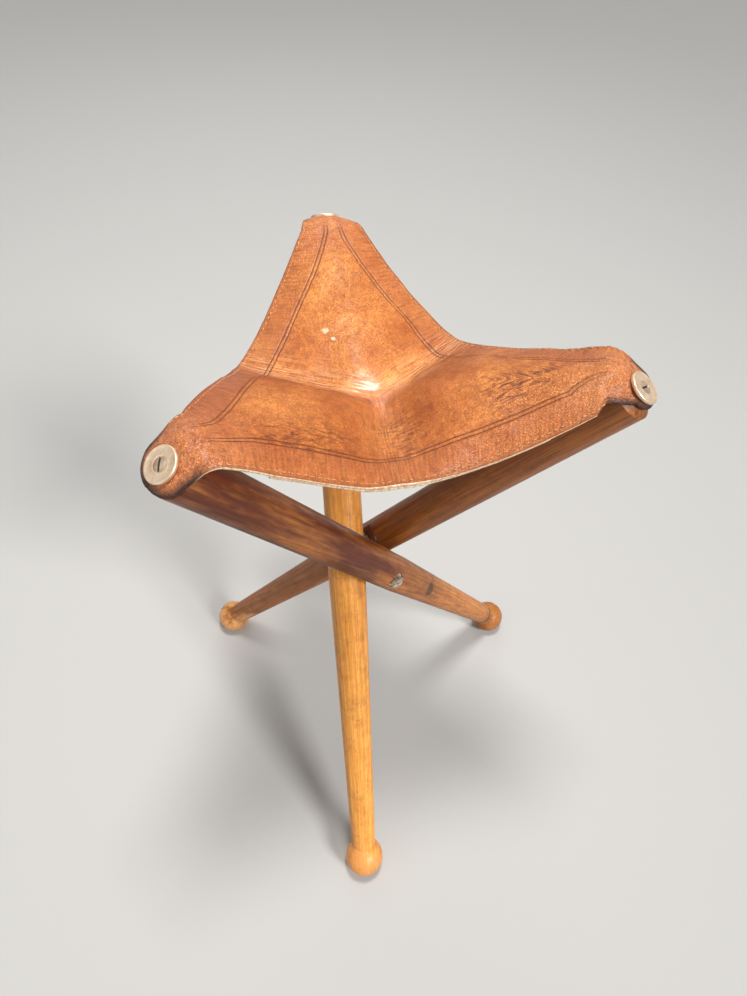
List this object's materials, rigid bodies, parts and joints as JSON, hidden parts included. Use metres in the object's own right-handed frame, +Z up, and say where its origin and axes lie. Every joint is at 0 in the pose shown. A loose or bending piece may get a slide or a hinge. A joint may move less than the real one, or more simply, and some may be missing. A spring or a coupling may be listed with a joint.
{
  "type": "folding campaign stool",
  "caption": "Folding stool with crossed turned wooden legs, ball feet, a three-way pivot bolt and a sagging tan leather triangle seat screwed to the leg ends.",
  "frame": {"origin": "on the floor, under the middle of the seat", "axes": "+Z up; +Y towards the rear corner of the seat; -Y towards the front edge"},
  "size_m": [0.3159, 0.3361, 0.456],
  "materials": {
    "leg_wood": "varnished, worn",
    "seat_leather": "waxed, worn",
    "strip_leather": "rough flesh side",
    "corner_metal": "satin, nickel plated",
    "screw_metal": "dull",
    "pivot_metal": "satin"
  },
  "bodies": {
    "hub": {"pivot_bolt": "pivot_metal", "pivot_nut": "pivot_metal", "eye_bolt": "pivot_metal", "eye_bolt_nut": "pivot_metal", "pivot_washer_rear": "pivot_metal", "pivot_washer_left": "pivot_metal", "pivot_washer_right": "pivot_metal", "seat_leather": "seat_leather", "edge_strip_left": "strip_leather", "edge_strip_front": "strip_leather", "edge_strip_right": "strip_leather"},
    "leg_rear_body": {"leg_rear": "leg_wood", "corner_washer_rear": "corner_metal", "corner_screw_rear": "screw_metal"},
    "leg_left_body": {"leg_left": "leg_wood", "corner_washer_left": "corner_metal", "corner_screw_left": "screw_metal"},
    "leg_right_body": {"leg_right": "leg_wood", "corner_washer_right": "corner_metal", "corner_screw_right": "screw_metal"}
  },
  "joints": [
    {"name": "rear_leg_fold", "type": "hinge", "parent": "hub", "child": "leg_rear_body", "pos_m": [-0.00496, 0.01188, 0.24332], "axis": [0.8682, 0.3626, -0.3386], "range_deg": [0, 30], "deforming": ["seat_leather", "edge_strip_left", "edge_strip_front", "edge_strip_right"]},
    {"name": "right_leg_fold", "type": "hinge", "parent": "hub", "child": "leg_right_body", "pos_m": [-0.00496, 0.01188, 0.24332], "axis": [-0.8682, -0.3626, 0.3386], "range_deg": [0, 30]},
    {"name": "left_leg_fold", "type": "hinge", "parent": "hub", "child": "leg_left_body", "pos_m": [-0.00496, 0.01188, 0.24332], "axis": [-0.3853, 0.9228, 0], "range_deg": [0, 54.83]}
  ],
  "couplings": [
    {"joint": "right_leg_fold", "follows": "rear_leg_fold", "ratio": 1},
    {"joint": "left_leg_fold", "follows": "rear_leg_fold", "ratio": 1.8274}
  ]
}
